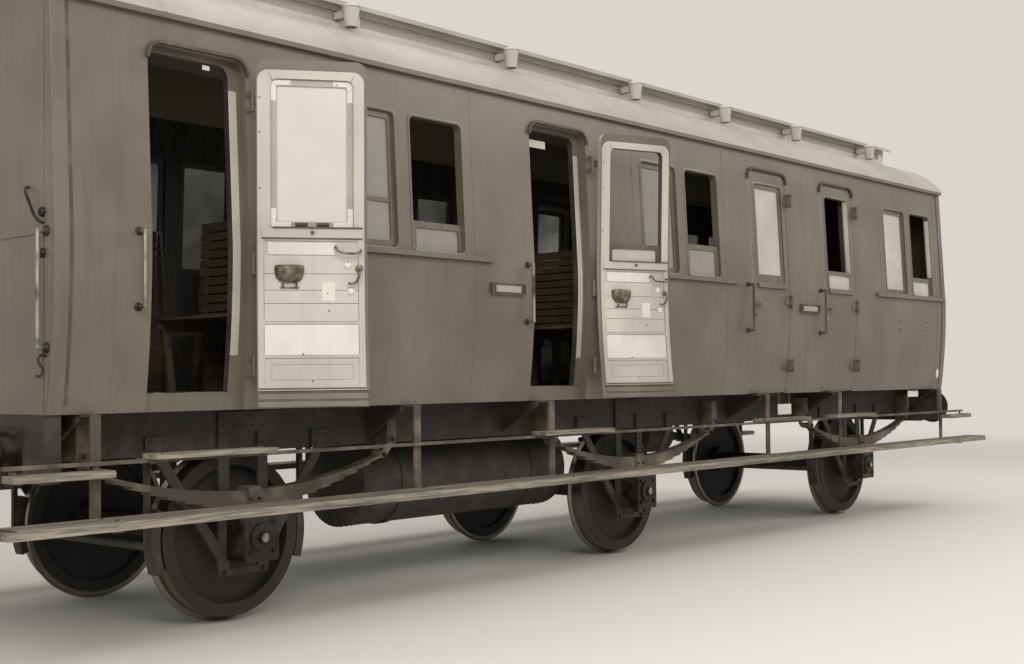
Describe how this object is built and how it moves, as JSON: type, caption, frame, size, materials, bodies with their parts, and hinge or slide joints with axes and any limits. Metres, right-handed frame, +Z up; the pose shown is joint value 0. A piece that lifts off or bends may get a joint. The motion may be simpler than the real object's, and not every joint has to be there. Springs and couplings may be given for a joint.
{
  "type": "three-axle railway passenger coach",
  "caption": "Railway passenger coach with side doors that swing out, a raised lantern roof, footboards, leaf-sprung wheelsets and wooden benches inside.",
  "frame": {"origin": "under the middle axle on the track's centre line, level with the lowest point of the wheel flanges", "axes": "+X along the coach, +Y across it away from the side with the open doors, +Z up"},
  "size_m": [12.0508, 3.4328, 4.1297],
  "materials": {
    "body_paint": "satin coach enamel on sheet steel, dark warm grey brown",
    "door_paint": "dark enamel outside, cream enamel inside",
    "roof_paint": "matt light grey roof paint, weathered",
    "frame_paint": "matt black underframe paint with brake dust",
    "cast_iron": "oily cast iron",
    "wheel_steel": "rolled steel, rusty with a worn tread",
    "rail_steel": "hand-worn iron rail",
    "step_wood": "weathered grey plank",
    "bench_wood": "varnished slats",
    "floor_wood": "worn floor boards",
    "frame_wood": "varnished window sash",
    "glass": "clear window glass"
  },
  "bodies": {
    "coach": {"axle_guards": "frame_paint", "axleboxes": "cast_iron", "bench_backs": "bench_wood", "benches": "bench_wood", "brake_cylinder": "cast_iron", "brake_gear": "cast_iron", "buffer_housings": "cast_iron", "buffers": "wheel_steel", "door_heads": "body_paint", "door_hinges": "frame_paint", "door_posts": "body_paint", "draw_gear": "wheel_steel", "end_handrails": "rail_steel", "end_wall_left": "body_paint", "end_wall_right": "body_paint", "floor": "floor_wood", "footboard_hangers": "frame_paint", "footboards": "step_wood", "gas_tank": "frame_paint", "gas_tank_straps": "frame_paint", "grab_rails": "rail_steel", "gutters": "roof_paint", "lantern_glass": "glass", "lantern_roof": "roof_paint", "lantern_sides": "roof_paint", "leaf_springs": "frame_paint", "plate_holders": "body_paint", "roof": "roof_paint", "roof_ventilators": "roof_paint", "side_wall_far": "body_paint", "side_wall_near": "body_paint", "sill_ledges": "body_paint", "underframe": "frame_paint", "upper_steps": "step_wood", "window_glass": "glass", "window_sashes": "frame_wood"},
    "wheelset_left": {"wheelset_left": "wheel_steel"},
    "wheelset_middle": {"wheelset_middle": "wheel_steel"},
    "wheelset_right": {"wheelset_right": "wheel_steel"},
    "door_1_near": {"door_1_near": "door_paint", "door_1_near_glass": "glass"},
    "door_2_near": {"door_2_near": "door_paint", "door_2_near_glass": "glass"},
    "door_3_near": {"door_3_near": "door_paint", "door_3_near_glass": "glass"},
    "door_4_near": {"door_4_near": "door_paint", "door_4_near_glass": "glass"},
    "door_1_far": {"door_1_far": "door_paint", "door_1_far_glass": "glass"},
    "door_2_far": {"door_2_far": "door_paint", "door_2_far_glass": "glass"},
    "door_3_far": {"door_3_far": "door_paint", "door_3_far_glass": "glass"},
    "door_4_far": {"door_4_far": "door_paint", "door_4_far_glass": "glass"}
  },
  "joints": [
    {"name": "left_axle_turns", "type": "hinge", "parent": "coach", "child": "wheelset_left", "pos_m": [-3.9, 0, 0.528], "axis": [0, 1, 0], "continuous": true},
    {"name": "middle_axle_turns", "type": "hinge", "parent": "coach", "child": "wheelset_middle", "pos_m": [0, 0, 0.528], "axis": [0, 1, 0], "continuous": true},
    {"name": "right_axle_turns", "type": "hinge", "parent": "coach", "child": "wheelset_right", "pos_m": [3.9, 0, 0.528], "axis": [0, 1, 0], "continuous": true},
    {"name": "door_1_near_swings", "type": "hinge", "parent": "coach", "child": "door_1_near", "pos_m": [-4.146, -1.352, 2.3], "axis": [0, 0, 1], "range_deg": [-144, 16]},
    {"name": "door_2_near_swings", "type": "hinge", "parent": "coach", "child": "door_2_near", "pos_m": [-0.996, -1.352, 2.3], "axis": [0, 0, 1], "range_deg": [-160, 0]},
    {"name": "door_3_near_swings", "type": "hinge", "parent": "coach", "child": "door_3_near", "pos_m": [1.964, -1.352, 2.3], "axis": [0, 0, 1], "range_deg": [0, 160]},
    {"name": "door_4_near_swings", "type": "hinge", "parent": "coach", "child": "door_4_near", "pos_m": [3.264, -1.352, 2.3], "axis": [0, 0, 1], "range_deg": [0, 160]},
    {"name": "door_1_far_swings", "type": "hinge", "parent": "coach", "child": "door_1_far", "pos_m": [-4.804, 1.352, 2.3], "axis": [0, 0, 1], "range_deg": [0, 160]},
    {"name": "door_2_far_swings", "type": "hinge", "parent": "coach", "child": "door_2_far", "pos_m": [-1.654, 1.352, 2.3], "axis": [0, 0, 1], "range_deg": [0, 160]},
    {"name": "door_3_far_swings", "type": "hinge", "parent": "coach", "child": "door_3_far", "pos_m": [1.306, 1.352, 2.3], "axis": [0, 0, 1], "range_deg": [0, 160]},
    {"name": "door_4_far_swings", "type": "hinge", "parent": "coach", "child": "door_4_far", "pos_m": [2.606, 1.352, 2.3], "axis": [0, 0, 1], "range_deg": [0, 160]}
  ]
}
